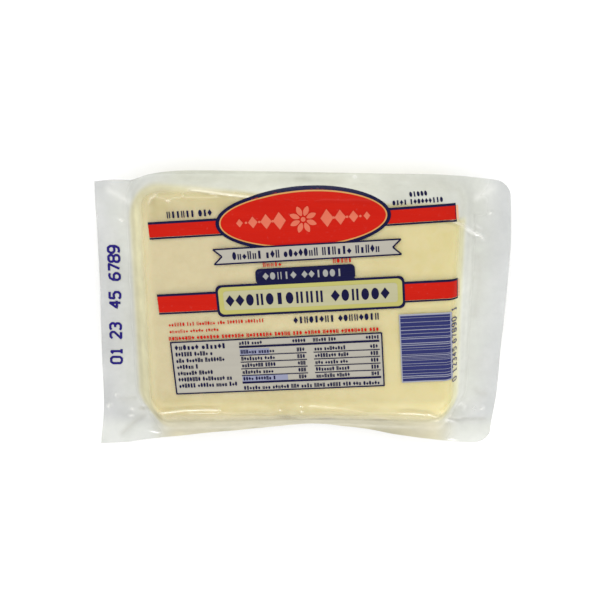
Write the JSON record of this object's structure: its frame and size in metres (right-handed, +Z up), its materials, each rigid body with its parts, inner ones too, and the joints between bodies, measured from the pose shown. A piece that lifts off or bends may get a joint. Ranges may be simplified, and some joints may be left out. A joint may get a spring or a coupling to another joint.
{
  "type": "vacuum-packed mozzarella block",
  "caption": "Flat slab of mozzarella sealed in a clear film pouch, with print on the front film and a sealed flange of film all round.",
  "frame": {"origin": "centre of the pouch's outline seen from above, at the height of the slab's flat back", "axes": "+X runs along the pouch, +Y towards the top edge of the print, +Z up out of the printed face"},
  "size_m": [0.1556, 0.1062, 0.0215],
  "materials": {
    "film": "clear glossy film over pale cream cheese",
    "cheese": "smooth, moist, pale cream cheese",
    "red_print": "red ink under film",
    "navy_print": "navy ink under film",
    "gold_print": "gold ink under film",
    "green_print": "pale yellow-green ink under film",
    "pale_print": "pale grey-lavender ink under film"
  },
  "bodies": {
    "root": {"sealed_pack": "film"}
  },
  "joints": []
}
